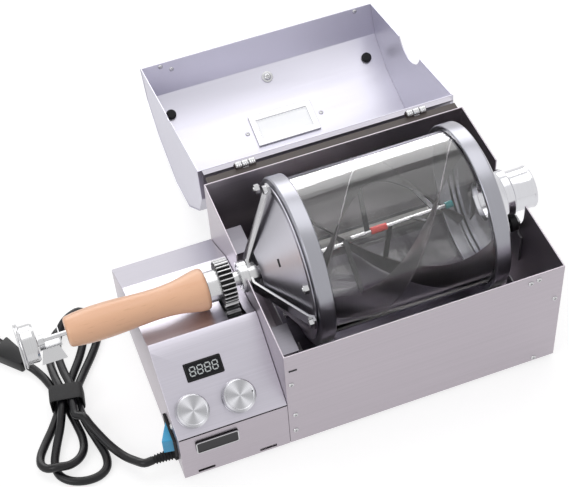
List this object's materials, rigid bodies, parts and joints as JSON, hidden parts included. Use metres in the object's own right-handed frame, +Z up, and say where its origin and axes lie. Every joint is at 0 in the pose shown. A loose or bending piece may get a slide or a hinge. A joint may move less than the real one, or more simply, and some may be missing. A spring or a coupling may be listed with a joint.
{
  "type": "home coffee bean roaster",
  "caption": "Countertop coffee roaster: a geared glass drum with a wooden handle turns in an open steel box with a hinged lid and a sloped control panel.",
  "frame": {"origin": "underside of the housing, in the middle of its length and depth", "axes": "+X along the drum axis from the handle to the outlet, +Y to the back where the lid is hinged, +Z up"},
  "size_m": [0.4751, 0.4103, 0.1826],
  "materials": {
    "stainless": "brushed sheet",
    "aluminium": "turned",
    "steel": "machined",
    "dark_steel": "dark satin",
    "glass": "clear",
    "beech": "sanded and oiled",
    "black_plastic": "satin black",
    "blue_plastic": "gloss blue",
    "rubber": "matte black",
    "ceramic": "fired ceramic",
    "board": "green laminate"
  },
  "bodies": {
    "housing": {"chamber_box": "stainless", "control_case": "stainless", "control_cover": "stainless", "display_module": "black_plastic", "badge_plate": "black_plastic", "speed_potentiometer": "dark_steel", "heat_potentiometer": "dark_steel", "rocker_housing": "black_plastic", "drum_motor": "aluminium", "motor_bracket": "steel", "control_board": "board", "shelf_bracket": "stainless", "roller_bracket": "steel", "heater_tube_front": "ceramic", "heater_tube_rear": "ceramic", "heater_holder_left": "stainless", "heater_holder_right": "stainless", "reflector_tray": "stainless", "hinge_strip": "dark_steel", "neck_bearing": "steel", "foot_front_left": "rubber", "foot_front_right": "rubber", "foot_rear_left": "rubber", "foot_rear_right": "rubber", "strain_relief": "rubber", "cord_lead": "rubber", "cord_hank": "rubber", "cord_tie": "rubber", "mains_plug": "rubber"},
    "drum": {"drum_ring_left": "aluminium", "drum_ring_right": "aluminium", "drum_glass": "glass", "drum_cone": "stainless", "drum_outlet": "aluminium", "drum_spider": "steel", "drum_neck": "steel", "drum_gear": "steel", "wood_handle": "beech", "stir_vane_1": "stainless", "stir_vane_2": "stainless", "stir_vane_3": "stainless"},
    "thermometer": {"thermometer_case": "stainless", "thermometer_glass": "glass", "thermometer_stem": "steel", "thermometer_clip": "stainless"},
    "pinion": {"motor_pinion": "steel"},
    "roller_front": {"outlet_roller_front": "rubber"},
    "roller_rear": {"outlet_roller_rear": "rubber"},
    "speed_knob": {"speed_knob": "aluminium"},
    "heat_knob": {"heat_knob": "aluminium"},
    "rocker": {"rocker_paddle": "blue_plastic"},
    "lid": {"lid_shell": "stainless", "lid_end_left": "stainless", "lid_end_right": "stainless", "window_frame": "stainless", "window_glass": "glass", "lid_knob": "beech", "lid_hinge_strip": "dark_steel"}
  },
  "joints": [
    {"name": "lid_hinge", "type": "hinge", "parent": "housing", "child": "lid", "pos_m": [0.046, 0.108, 0.1176], "axis": [1, 0, 0], "range_deg": [0, 193]},
    {"name": "drum_spin", "type": "hinge", "parent": "housing", "child": "drum", "pos_m": [0, 0, 0.1056], "axis": [1, 0, 0], "continuous": true},
    {"name": "thermometer_slide", "type": "slide", "parent": "drum", "child": "thermometer", "axis": [-1, 0, 0], "range_m": [0, 0.12]},
    {"name": "pinion_spin", "type": "hinge", "parent": "housing", "child": "pinion", "pos_m": [-0.0893, -0.01635, 0.08468], "axis": [1, 0, 0], "continuous": true},
    {"name": "roller_front_spin", "type": "hinge", "parent": "housing", "child": "roller_front", "pos_m": [0.159, -0.02009, 0.0899], "axis": [1, 0, 0], "continuous": true},
    {"name": "roller_rear_spin", "type": "hinge", "parent": "housing", "child": "roller_rear", "pos_m": [0.159, 0.02009, 0.0899], "axis": [1, 0, 0], "continuous": true},
    {"name": "speed_knob_turn", "type": "hinge", "parent": "housing", "child": "speed_knob", "pos_m": [-0.1482, -0.08273, 0.06578], "axis": [0, 0.5642, -0.8257], "range_deg": [0, 280]},
    {"name": "heat_knob_turn", "type": "hinge", "parent": "housing", "child": "heat_knob", "pos_m": [-0.1094, -0.08273, 0.06578], "axis": [0, 0.5642, -0.8257], "range_deg": [0, 280]},
    {"name": "rocker_tilt", "type": "hinge", "parent": "housing", "child": "rocker", "pos_m": [-0.1612, -0.0732, 0.0295], "axis": [0, 0, 1], "range_deg": [0, 12]}
  ],
  "couplings": [
    {"joint": "pinion_spin", "follows": "drum_spin", "ratio": -2.5},
    {"joint": "roller_front_spin", "follows": "drum_spin", "ratio": -2.5},
    {"joint": "roller_rear_spin", "follows": "drum_spin", "ratio": -2.5}
  ]
}
